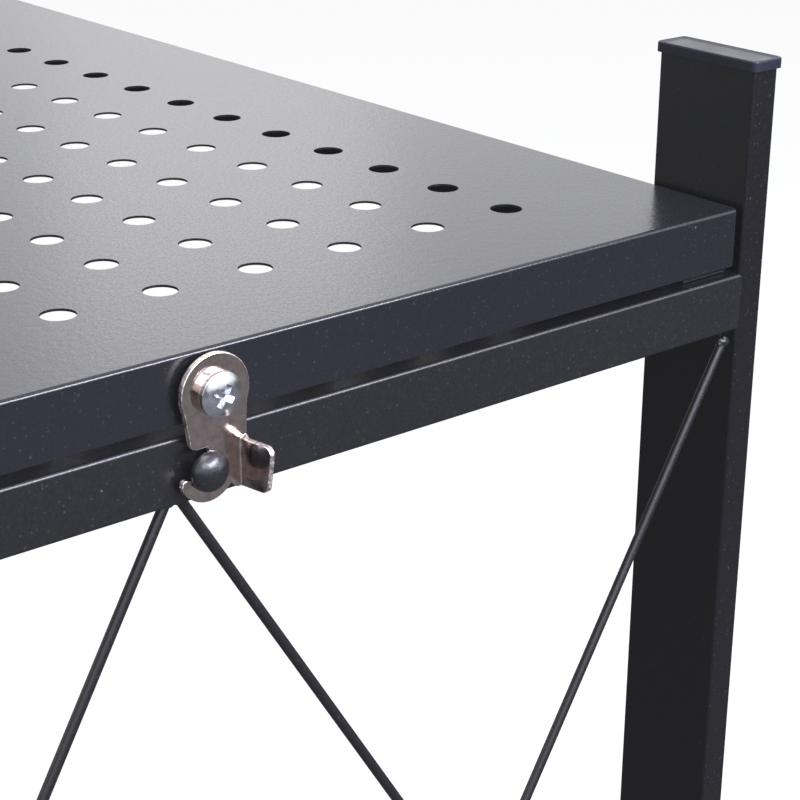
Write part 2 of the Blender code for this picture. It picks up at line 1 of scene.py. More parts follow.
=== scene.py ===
"""Looks for the folding side table: finer meshes, finishes, studio and camera.

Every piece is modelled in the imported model's frame, in metres, at rest. The front end is modelled
once and turned half round about Z for the rear end, as the table itself is.
"""

import json
import math

import bmesh
import bpy
from mathutils import Matrix, Vector, noise


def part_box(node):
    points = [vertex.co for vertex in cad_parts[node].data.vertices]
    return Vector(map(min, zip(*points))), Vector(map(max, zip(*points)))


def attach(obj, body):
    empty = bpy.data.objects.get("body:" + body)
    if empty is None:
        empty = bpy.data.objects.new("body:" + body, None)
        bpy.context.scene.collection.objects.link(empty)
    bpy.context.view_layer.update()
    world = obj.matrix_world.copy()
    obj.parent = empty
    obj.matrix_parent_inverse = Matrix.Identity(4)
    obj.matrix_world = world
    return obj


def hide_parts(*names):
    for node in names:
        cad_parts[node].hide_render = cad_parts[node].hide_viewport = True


MM = 0.001
FLAT_ANGLE = math.radians(0.5)
SHARP_ANGLE = math.radians(35)
SAME_POINT = 0.001 * MM
SAME_LEVEL = 0.01 * MM

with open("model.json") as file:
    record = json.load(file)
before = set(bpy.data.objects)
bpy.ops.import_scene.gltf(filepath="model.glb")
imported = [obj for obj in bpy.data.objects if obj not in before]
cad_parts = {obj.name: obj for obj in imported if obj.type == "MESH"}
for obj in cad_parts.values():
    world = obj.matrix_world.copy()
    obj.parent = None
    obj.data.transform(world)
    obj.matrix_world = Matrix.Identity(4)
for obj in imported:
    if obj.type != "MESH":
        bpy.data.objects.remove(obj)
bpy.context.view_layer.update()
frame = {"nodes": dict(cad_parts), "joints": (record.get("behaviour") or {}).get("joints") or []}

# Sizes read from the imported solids
DECK_LOW, DECK_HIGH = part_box("deck_tray")
POST_LOW, POST_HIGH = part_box("post_front_right")
TOP_BAR_LOW, TOP_BAR_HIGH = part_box("top_bar_front")
LOWER_BAR_LOW, LOWER_BAR_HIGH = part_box("lower_bar_front")
CAP_LOW, CAP_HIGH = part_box("post_cap_front_right")
FOOT_LOW, FOOT_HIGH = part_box("foot_front_right")
LATCH_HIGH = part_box("latch_front")[1]
SCREW_LOW, SCREW_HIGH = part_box("latch_screw_front")
STUD_LOW, STUD_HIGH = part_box("latch_stud_front")
BOLT_LOW, BOLT_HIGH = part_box("pivot_bolt_front_right")

END_PLANE = DECK_LOW.y
DECK_TOP = DECK_HIGH.z
JOINTS = {joint["name"]: Vector(joint["pos_m"]) for joint in frame["joints"]}
SCREW_AXIS = JOINTS["latch_front_turn"]
FOLD_AXIS = JOINTS["fold_front"]

# Deck details
SHEET = 0.6 * MM
END_SKIRT = 15.05 * MM
FLANGE_WIDTH = 16.0 * MM
FLANGE_SETBACK = 3.5 * MM
DECK_EDGE_RADIUS = 0.9 * MM
DECK_CORNER_RADIUS = 2.2 * MM
HOLES_ACROSS = 10
HOLES_ALONG = 28
HOLE_PITCH_ACROSS = 26.0 * MM
HOLE_PITCH_ALONG = 24.4 * MM
HOLE_RADIUS = 4.1 * MM
HOLE_SIDES = 32

# Frame details
POST_WALL = 1.2 * MM
POST_RADIUS = 0.9 * MM
BAR_WALL = 1.2 * MM
BAR_RADIUS = 0.9 * MM
CAP_RADIUS = 1.5 * MM
CAP_EDGE = 0.7 * MM
CAP_LIP = 1.4 * MM
CAP_RECESS = 0.6 * MM
CAP_RIM = 2.9 * MM
FOOT_RIM = 5.0 * MM
FOOT_EDGE = 1.0 * MM
WIRE_RADIUS = 1.25 * MM
WIRE_SIDES = 24
WELD_RADIUS = 1.9 * MM
WELD_STRETCH = Vector((1.15, 0.8, 0.75))
WELD_DRIFT = Vector((3.1, 1.7, 2.3))
WELD_LUMPS = ((0.22, 1.6), (0.07, 5.0))
POST_WELD_SHIFT = 2.4 * MM
FASTENER_RADIUS = 2.5 * MM
FASTENER_CLEARANCE = 0.3 * MM
FASTENER_SIDES = 24

# Latch details, counted from its screw
LATCH_THICKNESS = 1.4 * MM
LATCH_HEAD_RADIUS = 8.5 * MM
LATCH_SHOULDER = math.radians(24)
LATCH_WAIST_LEFT = 6.7 * MM
LATCH_WAIST_RIGHT = 7.5 * MM
LATCH_CORNER = 1.5 * MM
LATCH_NOTCH_TOP = 11.7 * MM
LATCH_FOOT = 21.2 * MM
LATCH_BORE_SIDES = 40
HOOK_RADIUS = 7.1 * MM
HOOK_START = math.radians(-161)
HOOK_TIP = Vector((-8.0, -18.75)) * MM
HOOK_TIP_RADIUS = 0.9 * MM
HOOK_TIP_SWEEP = (math.radians(60), math.radians(190))
HOOK_LIP_PLAY = 2.6 * MM
HOOK_LIP_SWEEP = (math.radians(-104), math.radians(-112.5))
SLOT_RADIUS = 3.4 * MM
SLOT_SWEEP = (math.radians(75), math.radians(-125))
TAB_TOP = 11.8 * MM
TAB_FOOT = 22.6 * MM
TAB_FOOT_START = 4.8 * MM
TAB_TOP_REACH = 15.4 * MM
TAB_FOOT_REACH = 14.4 * MM
TAB_CORNER = 1.9 * MM
TAB_FILLET = 0.7 * MM
TAB_BEND_START = 5.4 * MM
TAB_BEND_LENGTH = 1.6 * MM
TAB_BEND = math.radians(80)
CREASE_TOP = -11.1 * MM
CREASE_BAND = 0.7 * MM
# A painted highlight along the tab's bend: where it runs and how wide it is
BEND_HIGHLIGHT_LINE = 6.4 * MM
BEND_HIGHLIGHT_WIDTH = 0.3 * MM
LATCH_EDGE = 0.22 * MM
BEND_CUTS = 24
CREASE_CUTS = 10

# Screw and stud details
SCREW_HEAD_GAP = 0.1 * MM
SCREW_HEAD_EDGE = 0.2 * MM
SCREW_HEAD_TAPER = 0.6 * MM
SCREW_CROWN = 1.05 * MM
SCREW_SHORT = 0.85 * MM
WASHER_EDGE = 0.12 * MM
RECESS_DEPTH = 1.6 * MM
RECESS_REACH = 2.9 * MM
RECESS_WIDTH = 1.6 * MM
RECESS_TURN = math.radians(58)
RECESS_RISE = 0.4
RECESS_FLARE = 1.25
RECESS_FOOT_REACH = 0.42
RECESS_FOOT_WIDTH = 0.45
HEAD_SIDES = 64
STUD_HEAD_HEIGHT = 3.2 * MM
STUD_SHANK = 2.25 * MM
STUD_UPSET = 3.3 * MM
STUD_UPSET_HEIGHT = 1.6 * MM
STUD_DENT = 0.16 * MM
STUD_DENT_SCALE = 420
STUD_DENT_SHIFT = Vector((0.4, 1.3, 0.2))

# Pivot and small hardware details
BOLT_UNDERCUT = 0.25 * MM
BOLT_RECESS_RADIUS = 1.75 * MM
BOLT_RECESS_LENGTH = 2.0 * MM
HARDWARE_EDGE = 0.12 * MM
HARDWARE_EDGE_STEPS = 2
HARDWARE_EDGE_ANGLE = math.radians(40)

# Camera, as the photograph has it
CAMERA_PLACE = Vector((-216.9 * MM, END_PLANE - 321.4 * MM, DECK_TOP + 142.15 * MM))
CAMERA_FORWARD = Vector((0.5960, 0.7130, -0.3694))
CAMERA_RIGHT = Vector((0.7689, -0.6393, 0.0067))
CAMERA_LENS = 90.32
CAMERA_SENSOR = 36.0
CAMERA_CLIP_START = 0.01
CAMERA_CLIP_END = 50

# Studio. A lamp has its direction from the deck's front middle, as degrees right of straight ahead and
# degrees up, then its distance, its size, how bright its face is, and its colour.
FLOOR_HALF_SIZE = 6.0
FLOOR_DROP = 0.2 * MM
FLOOR_SEEN = (0.24, 0.245, 0.25, 1)
FLOOR_GLOW = 0.88
FLOOR_LIGHT_BACK = (0.07, 0.07, 0.07, 1)
FLOOR_IN_MIRRORS = 0.08
WORLD_FILL = 0.18
WORLD_WHITE = 1.0
WORLD_IN_MIRRORS = 1.0
WORLD_TINT = (0.97, 0.98, 1.0, 1)
COOL = (0.84, 0.84, 1.0)
PLAIN = (0.98, 0.97, 1.0)
LAMPS = {
    "key": (20, 26, 1.25, (1.05, 0.42), 19.5, COOL),
    "left": (-26, 33, 1.2, (0.7, 0.6), 4.5, COOL),
    "overhead": (-58, 79, 1.55, (0.9, 0.9), 3.5, PLAIN),
    "backdrop": (145.5, 13.5, 8.0, (11.0, 4.1), 0.4, PLAIN),
    "glow": (145.5, 18, 7.9, (1.35, 1.2), 1.25, PLAIN),
}

# Finishes. A kind of fleck has the scale of its cells, its size in a cell, the share of cells that have
# one, and its colour.
COAT_DEEP = (0.0088, 0.0090, 0.0140)
COAT_PALE = (0.0128, 0.0130, 0.0195)
COAT_FLECKS = (
    (800, 0.28, 0.30, (0.030, 0.030, 0.036, 1)),
    (430, 0.17, 0.14, (0.046, 0.046, 0.054, 1)),
    (190, 0.07, 0.06, (0.12, 0.12, 0.13, 1)),
)
PLASTIC_DEEP = (0.018, 0.019, 0.031, 1)
PLASTIC_PALE = (0.028, 0.029, 0.045, 1)
NICKEL_TINT = (0.70, 0.59, 0.55)
ZINC_TINT = (0.80, 0.83, 0.88)
PIT_BRIGHTNESS = 1.5
# Lighter, rougher plating: round the latch's edges partly real wear and partly painted highlight, along
# its bend painted highlight
WORN_AND_HIGHLIT = (0.92, 0.86, 0.80, 1)
WORN_AND_HIGHLIT_ROUGHNESS = 0.42

# How far a painted glow on the powder coat lifts its darkest parts, standing in for stray light in the
# lens
GLARE = 0.0085
GLARE_TINT = (0.9, 0.92, 1.0, 1)

# Turns and sides
HALF_TURN = Matrix.Rotation(math.pi, 4, "Z")
ALONG_X = Matrix.Rotation(math.pi / 2, 4, "Z") @ Matrix.Rotation(math.pi / 2, 4, "X")
ALONG_Y = Matrix.Rotation(math.pi / 2, 4, "X")
TURNS = {"front": Matrix.Identity(4), "rear": HALF_TURN}
OTHER_SIDE = {"left": "right", "right": "left"}
SIDES = ("left", "right")


# Shader helpers

class Finish:
    """A material and short ways to add nodes to it."""

    def __init__(self, name):
        self.material = bpy.data.materials.new(name)
        self.material.use_nodes = True
        self.tree = self.material.node_tree
        self.shader = self.tree.nodes["Principled BSDF"]
        self.place = self.tree.nodes.new("ShaderNodeTexCoord").outputs["Object"]

    def node(self, kind, inputs=None, **settings):
        made = self.tree.nodes.new(kind)
        for key, value in settings.items():
            setattr(made, key, value)
        for key, value in (inputs or {}).items():
            self.feed(made.inputs[key], value)
        return made

    def feed(self, socket, value):
        if isinstance(value, bpy.types.NodeSocket):
            self.tree.links.new(value, socket)
        else:
            socket.default_value = value

    def noise(self, scale, detail=2.0, roughness=0.5):
        inputs = {"Vector": self.place, "Scale": scale, "Detail": detail, "Roughness": roughness}
        return self.node("ShaderNodeTexNoise", inputs).outputs["Fac"]

    def ramp(self, value, low, high, to_low=0.0, to_high=1.0):
        inputs = {"Value": value, "From Min": low, "From Max": high, "To Min": to_low, "To Max": to_high}
        return self.node("ShaderNodeMapRange", inputs).outputs["Result"]

    def multiply(self, a, b):
        return self.node("ShaderNodeMath", {0: a, 1: b}, operation="MULTIPLY").outputs["Value"]

    def mix(self, factor, a, b):
        made = self.node("ShaderNodeMix", data_type="RGBA")
        self.feed(made.inputs["Factor"], factor)
        self.feed(made.inputs[6], a)
        self.feed(made.inputs[7], b)
        return made.outputs[2]

    def flecks(self, scale, size, share):
        """Sparse dots, one in each cell of a Voronoi field whose own random value is high."""
        cells = self.node("ShaderNodeTexVoronoi", {"Vector": self.place, "Scale": scale})
        dot = self.ramp(cells.outputs["Distance"], size, size * 0.4)
        chosen = self.node("ShaderNodeSeparateColor", {"Color": cells.outputs["Color"]}).outputs["Red"]
        return self.multiply(dot, self.ramp(chosen, 1 - share, 1 - share * 0.9))

    def bump(self, height, strength, distance, under=None):
        inputs = {"Height": height, "Strength": strength, "Distance": distance}
        if under is not None:
            inputs["Normal"] = under
        return self.node("ShaderNodeBump", inputs).outputs["Normal"]

    def set(self, **values):
        for key, value in values.items():
            self.feed(self.shader.inputs[key.replace("_", " ")], value)
        return self.material


def powder_coat(name, tone, rough, gloss, peel_strength):
    """Dark charcoal powder coat: a fine orange peel, faint flecks, a few specks of dust and a faint
    painted glow for stray light in the lens, its colour scaled by a tone.
    """
    coat = Finish(name)
    grain = coat.noise(1500, 3.0, 0.6)
    peel = coat.noise(420, 2.0)
    cloud = coat.noise(14, 3.0)
    deep = tuple(tone * c for c in COAT_DEEP) + (1,)
    pale = tuple(tone * c for c in COAT_PALE) + (1,)
    colour = coat.mix(cloud, deep, pale)
    for scale, size, share, fleck in COAT_FLECKS:
        colour = coat.mix(coat.flecks(scale, size, share), colour, fleck)
    normal = coat.bump(peel, peel_strength, 0.12 * MM)
    normal = coat.bump(grain, 0.40, 0.05 * MM, normal)
    roughness = coat.ramp(grain, 0.3, 0.7, rough - 0.05, rough + 0.08)
    return coat.set(
        Base_Color=colour, Roughness=roughness, Normal=normal, Specular_IOR_Level=gloss,
        # Painted glow, standing in for stray light in the lens
        Emission_Color=GLARE_TINT, Emission_Strength=GLARE,
    )


def black_plastic(name):
    """Moulded black plastic: faint mould texture and handling marks in its gloss."""
    plastic = Finish(name)
    grain = plastic.noise(1100, 2.0)
    smear = plastic.noise(60, 4.0, 0.6)
    colour = plastic.mix(smear, PLASTIC_DEEP, PLASTIC_PALE)
    return plastic.set(
        Base_Color=colour, Roughness=plastic.ramp(smear, 0.3, 0.7, 0.28, 0.42),
        Normal=plastic.bump(grain, 0.25, 0.04 * MM),
    )


def plated_steel(name, tint, rough, tone):
    """Plated steel: fine rolling marks, a mottled tone, pits, and lighter and rougher where the mesh
    says so, as wear and painted highlight.
    """
    steel = Finish(name)
    stretched = steel.node("ShaderNodeMapping", {"Vector": steel.place, "Scale": (1.0, 1.0, 0.12)})
    rolled = steel.node("ShaderNodeTexNoise", {"Vector": stretched.outputs["Vector"], "Scale": 2600.0})
    mottle = steel.noise(520, 5.0, 0.7)
    pits = steel.flecks(800, 0.2, 0.06)
    dull = tuple(c * (1 - 2 * tone) for c in tint) + (1,)
    bright = tuple(min(1.0, c * (1 + tone)) for c in tint) + (1,)
    colour = steel.mix(steel.ramp(mottle, 0.35, 0.65), dull, bright)
    colour = steel.mix(pits, colour, tuple(min(1.0, c * PIT_BRIGHTNESS) for c in tint) + (1,))
    wear_and_highlight = steel.node("ShaderNodeAttribute", attribute_name="wear_and_highlight").outputs["Fac"]
    wear_and_highlight = steel.multiply(wear_and_highlight, steel.ramp(steel.noise(1400, 2.0), 0.35, 0.6, 0.35, 1.0))
    # Painted highlight, partly also real wear: lighter plating where the mesh marks it
    colour = steel.mix(wear_and_highlight, colour, WORN_AND_HIGHLIT)
    rough_all_over = steel.ramp(mottle, 0.3, 0.7, rough - 0.05, rough + 0.07)
    rougher = steel.ramp(wear_and_highlight, 0.0, 1.0, 0.0, WORN_AND_HIGHLIT_ROUGHNESS)
    roughness = steel.node("ShaderNodeMath", {0: rough_all_over, 1: rougher}, operation="ADD")
    normal = steel.bump(rolled.outputs["Fac"], 0.10, 0.03 * MM)
    normal = steel.bump(mottle, 0.1, 0.05 * MM, normal)
    return steel.set(
        Base_Color=colour, Metallic=1.0, Normal=normal, Roughness=roughness.outputs["Value"],
    )


# The four coats are one powder coat: their tones differ as painted light and shade, the frame, posts and
# stud darker than the deck
DECK_COAT = powder_coat("deck_coat", 0.86, 0.22, 0.75, 0.35)
FRAME_COAT = powder_coat("frame_coat", 0.50, 0.32, 0.78, 0.25)
POST_COAT = powder_coat("post_coat", 0.36, 0.32, 0.45, 0.25)
STUD_COAT = powder_coat("stud_coat", 0.66, 0.28, 1.0, 1.0)
PLASTIC = black_plastic("black_plastic")
NICKEL = plated_steel("nickel_plate", NICKEL_TINT, 0.11, 0.12)
ZINC = plated_steel("zinc_plate", ZINC_TINT, 0.20, 0.08)
SLOT_OF = {finish.name: "powder_coat" for finish in (DECK_COAT, FRAME_COAT, POST_COAT, STUD_COAT)}
SLOT_OF.update({PLASTIC.name: "black_plastic", NICKEL.name: "nickel_plate", ZINC.name: "zinc_plate"})


# Mesh helpers

def arc(centre, radius, start, end, steps):
    """Points from one angle to another, in radians, both ends included."""
    angles = [start + (end - start) * i / steps for i in range(steps + 1)]
    return [(centre[0] + radius * math.cos(a), centre[1] + radius * math.sin(a)) for a in angles]


def rounded_rectangle(width, height, radius, steps=7):
    points = []
    for quarter in range(4):
        start = quarter * math.pi / 2
        x = (width / 2 - radius) * (1 if quarter in (0, 3) else -1)
        y = (height / 2 - radius) * (1 if quarter in (0, 1) else -1)
        points += arc((x, y), radius, start, start + math.pi / 2, steps)
    return points


def circle(radius, sides):
    return arc((0, 0), radius, 0, math.tau * (sides - 1) / sides, sides - 1)


def weld_caps(mesh, matrix=None):
    """The mesh with points that coincide joined and its faces all turned outwards, moved into place."""
    work = bmesh.new()
    work.from_mesh(mesh)
    bmesh.ops.remove_doubles(work, verts=work.verts, dist=SAME_POINT)
    bmesh.ops.recalc_face_normals(work, faces=work.faces)
    if matrix is not None:
        bmesh.ops.transform(work, matrix=matrix, verts=work.verts)
    work.to_mesh(mesh)
    work.free()
    return mesh


def baked(holder):
    """The finished mesh of an object that is only a step on the way."""
    bpy.context.view_layer.update()
    graph = bpy.context.evaluated_depsgraph_get()
    mesh = bpy.data.meshes.new_from_object(holder.evaluated_get(graph))
    bpy.data.objects.remove(holder, do_unlink=True)
    return mesh


def holder_of(data):
    holder = bpy.data.objects.new("step", data)
    bpy.context.scene.collection.objects.link(holder)
    return holder


def place_at(middle):
    return Matrix.Translation(middle)


def plate(outlines, thickness, matrix=None, edge=0.0):
    """A flat outline with its holes, extruded to a thickness centred on its plane, its edges rounded."""
    curve = bpy.data.curves.new("outline", "CURVE")
    curve.dimensions = "2D"
    curve.fill_mode = "BOTH"
    curve.extrude = thickness / 2 - edge
    curve.bevel_depth = edge
    curve.bevel_resolution = 2
    curve.offset = -edge
    for points in outlines:
        spline = curve.splines.new("POLY")
        spline.points.add(len(points) - 1)
        for point, (x, y) in zip(spline.points, points):
            point.co = (x, y, 0, 1)
        spline.use_cyclic_u = True
    return weld_caps(baked(holder_of(curve)), matrix)


def from_bmesh(work):
    mesh = bpy.data.meshes.new("piece")
    work.to_mesh(mesh)
    work.free()
    return mesh


def box(low, high):
    work = bmesh.new()
    size = Vector(high) - Vector(low)
    middle = (Vector(high) + Vector(low)) / 2
    bmesh.ops.create_cube(work, size=1, matrix=Matrix.Translation(middle) @ Matrix.Diagonal((*size, 1)))
    return from_bmesh(work)


def rod(radius, depth, sides, matrix):
    work = bmesh.new()
    bmesh.ops.create_cone(
        work, cap_ends=True, segments=sides, radius1=radius, radius2=radius, depth=depth, matrix=matrix
    )
    return from_bmesh(work)


def lathe(profile, matrix=None, sides=48):
    """A profile of (radius, height) points from the top of the axis to its foot, turned round Z."""
    work = bmesh.new()
    verts = [work.verts.new((r, 0, z)) for r, z in profile]
    edges = [work.edges.new(pair) for pair in zip(verts, verts[1:])]
    bmesh.ops.spin(
        work, geom=verts + edges, cent=(0, 0, 0), axis=(0, 0, 1), angle=math.tau, steps=sides,
        use_merge=True, use_duplicate=False,
    )
    return weld_caps(from_bmesh(work), matrix)


def cut(mesh, tools, operation="DIFFERENCE"):
    """The mesh with each tool taken away from it, or joined to it."""
    part = holder_of(mesh)
    helpers = [holder_of(tool) for tool in tools]
    for helper in helpers:
        step = part.modifiers.new("step", "BOOLEAN")
        step.operation = operation
        step.solver = "EXACT"
        step.object = helper
    result = baked(part)
    for helper in helpers:
        bpy.data.objects.remove(helper, do_unlink=True)
    return result


def dome(radius, height, steps=10):
    """The profile of a round head from its crown to its rim, as part of a sphere."""
    sphere = (radius ** 2 + height ** 2) / (2 * height)
    sweep = math.asin(radius / sphere)
    crown = [sweep * i / steps for i in range(steps + 1)]
    return [(sphere * math.sin(a), height - sphere * (1 - math.cos(a))) for a in crown]


def piece(name, mesh, material, body, nodes=(), turn=None):
    """One visible piece, on its body, in place of the CAD nodes it stands for."""
    mesh = mesh.copy()
    if turn is not None:
        mesh.transform(turn)
    mesh.materials.clear()
    mesh.materials.append(material)
    mesh.shade_smooth()
    mesh.set_sharp_from_angle(angle=SHARP_ANGLE)
    part = bpy.data.objects.new(name, mesh)
    bpy.context.scene.collection.objects.link(part)
    even = part.modifiers.new("even", "WEIGHTED_NORMAL")
    even.keep_sharp = True
    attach(part, body)
    if nodes:
        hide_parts(*nodes)
    return part


# Deck

def deck_outline(inset):
    size = DECK_HIGH - DECK_LOW
    return rounded_rectangle(size.x - 2 * inset, size.y - 2 * inset, DECK_CORNER_RADIUS - inset)


def deck_blank():
    """The tray's outside, with its upper edges rolled round."""
    height = DECK_HIGH.z - DECK_LOW.z
    middle = (DECK_LOW + DECK_HIGH) / 2
    work = bmesh.new()
    work.from_mesh(plate([deck_outline(0)], height, place_at(middle)))
    bmesh.ops.dissolve_limit(work, angle_limit=FLAT_ANGLE, verts=work.verts, edges=work.edges)
    top = max(work.faces, key=lambda f: f.calc_center_median().z)
    bmesh.ops.bevel(
        work, geom=list(top.edges), offset=DECK_EDGE_RADIUS, segments=6, profile=0.5, affect="EDGES"
    )
    return from_bmesh(work)


def hole_punches():
    """Every hole's punch in one mesh."""
    punch = holder_of(rod(HOLE_RADIUS, 4 * SHEET, HOLE_SIDES, Matrix.Identity(4)))
    corner = ((HOLES_ACROSS - 1) * HOLE_PITCH_ACROSS / 2, (HOLES_ALONG - 1) * HOLE_PITCH_ALONG / 2)
    punch.location = (-corner[0], -corner[1], DECK_TOP)
    steps = ((HOLES_ACROSS, (HOLE_PITCH_ACROSS, 0, 0)), (HOLES_ALONG, (0, HOLE_PITCH_ALONG, 0)))
    for count, pitch in steps:
        row = punch.modifiers.new("row", "ARRAY")
        row.count = count
        row.use_relative_offset = False
        row.use_constant_offset = True
        row.constant_offset_displace = pitch
    place = Matrix.Translation(punch.location)
    mesh = baked(punch)
    mesh.transform(place)
    return mesh


def make_deck():
    """A pressed tray: skirts all round, a flange turned in along each long side, and the holes."""
    far = 2 * DECK_HIGH.y
    flange = Vector((FLANGE_WIDTH, -far, -SHEET))
    depth = DECK_HIGH.z - DECK_LOW.z - 2 * SHEET
    tools = [plate([deck_outline(SHEET)], depth, place_at((DECK_LOW + DECK_HIGH) / 2))]
    tools.append(box(DECK_LOW + flange, (DECK_HIGH.x - FLANGE_WIDTH, far, DECK_LOW.z + 2 * SHEET)))
    skirt_foot = DECK_TOP - END_SKIRT
    for sign in (-1, 1):
        edge = sign * DECK_HIGH.y
        near, beyond = sorted((edge - sign * FLANGE_SETBACK, edge + sign * FLANGE_SETBACK))
        tools.append(box((-far, near, DECK_LOW.z - SHEET), (far, beyond, skirt_foot)))
        bolt = Matrix.Translation((0, -sign * FOLD_AXIS.y, FOLD_AXIS.z)) @ ALONG_X
        tools.append(rod(FASTENER_RADIUS + FASTENER_CLEARANCE, far, FASTENER_SIDES, bolt))
    screw = Matrix.Translation((0, 0, SCREW_AXIS.z)) @ ALONG_Y
    tools.append(rod(FASTENER_RADIUS + FASTENER_CLEARANCE, 2 * far, FASTENER_SIDES, screw))
    tools.append(hole_punches())
    piece("deck", cut(deck_blank(), tools), DECK_COAT, "deck", ["deck_tray"])


# End frames

def post_mesh():
    size = POST_HIGH - POST_LOW
    middle = (POST_HIGH + POST_LOW) / 2
    outer = rounded_rectangle(size.x, size.y, POST_RADIUS)
    walls = 2 * POST_WALL
    inner = rounded_rectangle(size.x - walls, size.y - walls, POST_RADIUS - POST_WALL / 2)
    mesh = plate([outer, inner], size.z, place_at(middle))
    bolt = Matrix.Translation((middle.x, FOLD_AXIS.y, FOLD_AXIS.z)) @ ALONG_X
    return cut(mesh, [rod(FASTENER_RADIUS + FASTENER_CLEARANCE, 2 * size.x, FASTENER_SIDES, bolt)])


def end_plug_mesh(low, high, rim_low, rim_high, edge, recess):
    """A moulded end piece: its rim with rolled edges and a dished face, and the plug in the tube."""
    size = high - low
    middle = (high + low) / 2
    faces_up = recess > 0
    outline = rounded_rectangle(size.x, size.y, CAP_RADIUS)
    mesh = plate([outline], rim_high - rim_low, place_at((middle.x, middle.y, (rim_low + rim_high) / 2)))
    work = bmesh.new()
    work.from_mesh(mesh)
    bmesh.ops.dissolve_limit(work, angle_limit=math.radians(1), verts=work.verts, edges=work.edges)
    top = max(work.faces, key=lambda f: f.calc_center_median().z * (1 if faces_up else -1))
    if recess:
        bmesh.ops.inset_region(work, faces=[top], thickness=CAP_LIP, use_even_offset=True)
        bmesh.ops.translate(work, vec=(0, 0, -recess), verts=top.verts)
    crown = rim_high if faces_up else rim_low
    level = [e for e in work.edges if all(abs(v.co.z - crown) < SAME_LEVEL for v in e.verts)]
    edges = [e for e in level if not all(abs(f.normal.z) > 0.9 for f in e.link_faces)]
    bmesh.ops.bevel(work, geom=edges, offset=edge, segments=4, profile=0.5, affect="EDGES")
    mesh = from_bmesh(work)
    gap = 2 * (POST_WALL + FASTENER_CLEARANCE)
    post = POST_HIGH - POST_LOW
    stem_outline = rounded_rectangle(post.x - gap, post.y - gap, POST_RADIUS - POST_WALL / 2)
    overlap = CAP_RIM / 4
    stem_low, stem_high = (low.z, rim_low + overlap) if faces_up else (rim_high - overlap, high.z)
    stem_middle = (middle.x, middle.y, (stem_low + stem_high) / 2)
    stem = plate([stem_outline], stem_high - stem_low, place_at(stem_middle))
    return cut(mesh, [stem], "UNION")


def bar_mesh(low, high):
    """A tube that runs a little into the posts' rounded corners, where it is welded flush."""
    size = high - low
    middle = (high + low) / 2
    outer = rounded_rectangle(size.y, size.z, BAR_RADIUS)
    inner = rounded_rectangle(size.y - 2 * BAR_WALL, size.z - 2 * BAR_WALL, BAR_RADIUS / 2)
    length = 2 * (POST_LOW.x + POST_RADIUS)
    return plate([outer, inner], length, place_at(middle) @ ALONG_X)


def drilled_top_bar():
    stud = (STUD_LOW + STUD_HIGH) / 2
    place = Matrix.Translation((stud.x, TOP_BAR_LOW.y, stud.z)) @ ALONG_Y
    hole = rod(FASTENER_RADIUS, 2 * BAR_WALL + MM, FASTENER_SIDES, place)
    return cut(bar_mesh(TOP_BAR_LOW, TOP_BAR_HIGH), [hole])


def wire_ends(node):
    """The two ends of a brace wire's centre line, from its CAD node: upper, then lower."""
    corners = [v.co for v in frame["nodes"][node].data.vertices]
    middle = sum(corners, Vector()) / len(corners)
    upper = [c for c in corners if c.z > middle.z]
    lower = [c for c in corners if c.z < middle.z]
    return sum(upper, Vector()) / len(upper), sum(lower, Vector()) / len(lower)


def wire_mesh(top, foot):
    """A round wire between its welds, whose ends run on into them."""
    run = (foot - top).normalized()
    start = top - run * WIRE_RADIUS
    finish = foot + run * WIRE_RADIUS
    turn = (finish - start).to_track_quat("Z", "Y").to_matrix().to_4x4()
    place = Matrix.Translation((start + finish) / 2) @ turn
    return rod(WIRE_RADIUS, (finish - start).length, WIRE_SIDES, place)


def weld_spot(end, other):
    """Where a wire's weld sits: at its end by the middle of a bar, a little way along it by a post."""
    by_a_post = abs(end.x) > POST_LOW.x / 2
    return end + (other - end).normalized() * (POST_WELD_SHIFT if by_a_post else 0)


def weld_mesh(spot, seed):
    """A small uneven weld bead, painted over."""
    work = bmesh.new()
    bmesh.ops.create_icosphere(work, subdivisions=3, radius=1)
    shift = seed * WELD_DRIFT
    for v in work.verts:
        lump = 1 + sum(size * noise.noise(v.co * scale + shift) for size, scale in WELD_LUMPS)
        v.co = spot + v.co * WELD_STRETCH * lump * WELD_RADIUS
    return from_bmesh(work)


def make_frames():
    """Both end frames. Left and right in a piece's name are as seen from the front end."""
    post = post_mesh()
    cap = end_plug_mesh(CAP_LOW, CAP_HIGH, CAP_HIGH.z - CAP_RIM, CAP_HIGH.z, CAP_EDGE, CAP_RECESS)
    foot = end_plug_mesh(FOOT_LOW, FOOT_HIGH, FOOT_LOW.z, FOOT_LOW.z + FOOT_RIM, FOOT_EDGE, 0)
    top_bar = drilled_top_bar()
    lower_bar = bar_mesh(LOWER_BAR_LOW, LOWER_BAR_HIGH)
    across = Matrix.Translation((-(POST_LOW + POST_HIGH).x, 0, 0))
    for end, turn in TURNS.items():
        body = f"leg_frame_{end}"
        for side in SIDES:
            seen = side if end == "front" else OTHER_SIDE[side]
            move = turn @ (across if side == "left" else Matrix.Identity(4))
            name = f"{end}_{seen}"
            piece(f"post_{name}_skin", post, POST_COAT, body, [f"post_{name}"], move)
            piece(f"cap_{name}_skin", cap, PLASTIC, body, [f"post_cap_{name}"], move)
            piece(f"foot_{name}_skin", foot, PLASTIC, body, [f"foot_{name}"], move)
        piece(f"top_bar_{end}_skin", top_bar, FRAME_COAT, body, [f"top_bar_{end}"], turn)
        piece(f"lower_bar_{end}_skin", lower_bar, FRAME_COAT, body, [f"lower_bar_{end}"], turn)
        make_braces(end, body)


